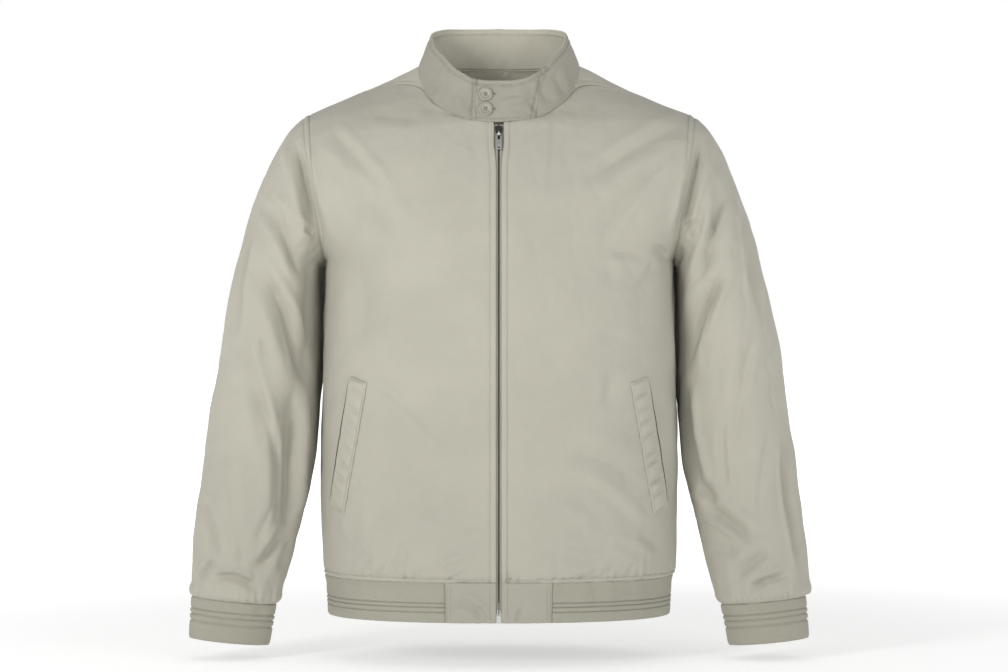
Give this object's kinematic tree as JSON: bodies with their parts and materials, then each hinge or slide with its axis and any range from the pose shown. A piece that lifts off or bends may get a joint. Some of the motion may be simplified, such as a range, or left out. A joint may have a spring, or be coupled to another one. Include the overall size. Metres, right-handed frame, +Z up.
{
  "type": "bomber jacket",
  "caption": "Zip-front bomber jacket with a buttoned stand collar, slanted welt pockets, ribbed waistband and cuffs, in its hollow worn form.",
  "frame": {"origin": "between the shoulders, on the centre plane, at the height of the side neck points, where the wearer's shoulders hold the jacket up", "axes": "+Z up; the front faces -Y; +X towards the wearer's left side"},
  "size_m": [0.7362, 0.2653, 0.7423],
  "materials": {
    "cotton": "matte woven cotton",
    "cotton_inside": "matte woven cotton, facing",
    "rib": "matte rib knit",
    "tape": "woven zip tape",
    "zip_metal": "satin",
    "button": "semi-matte"
  },
  "bodies": {
    "jacket": {"front_left": "cotton", "front_right": "cotton", "sleeve_left": "cotton", "sleeve_right": "cotton", "waist_tab_left": "cotton", "waist_tab_right": "cotton", "cuff_left": "rib", "cuff_right": "rib", "pocket_welt_left": "cotton", "pocket_welt_right": "cotton", "zip_tape_left": "tape", "zip_tape_right": "tape", "back": "cotton", "collar_stand": "cotton", "collar_tab": "cotton", "back_facing": "cotton_inside", "waistband_rib": "rib", "zip_slider": "zip_metal", "zip_box": "zip_metal", "button_upper": "button", "button_lower": "button"},
    "pull_tab": {"zip_pull": "zip_metal"}
  },
  "joints": [
    {"name": "zip_pull", "type": "hinge", "parent": "jacket", "child": "pull_tab", "pos_m": [0, -0.09579, -0.08183], "axis": [-1, 0, 0], "range_deg": [0, 120]}
  ]
}
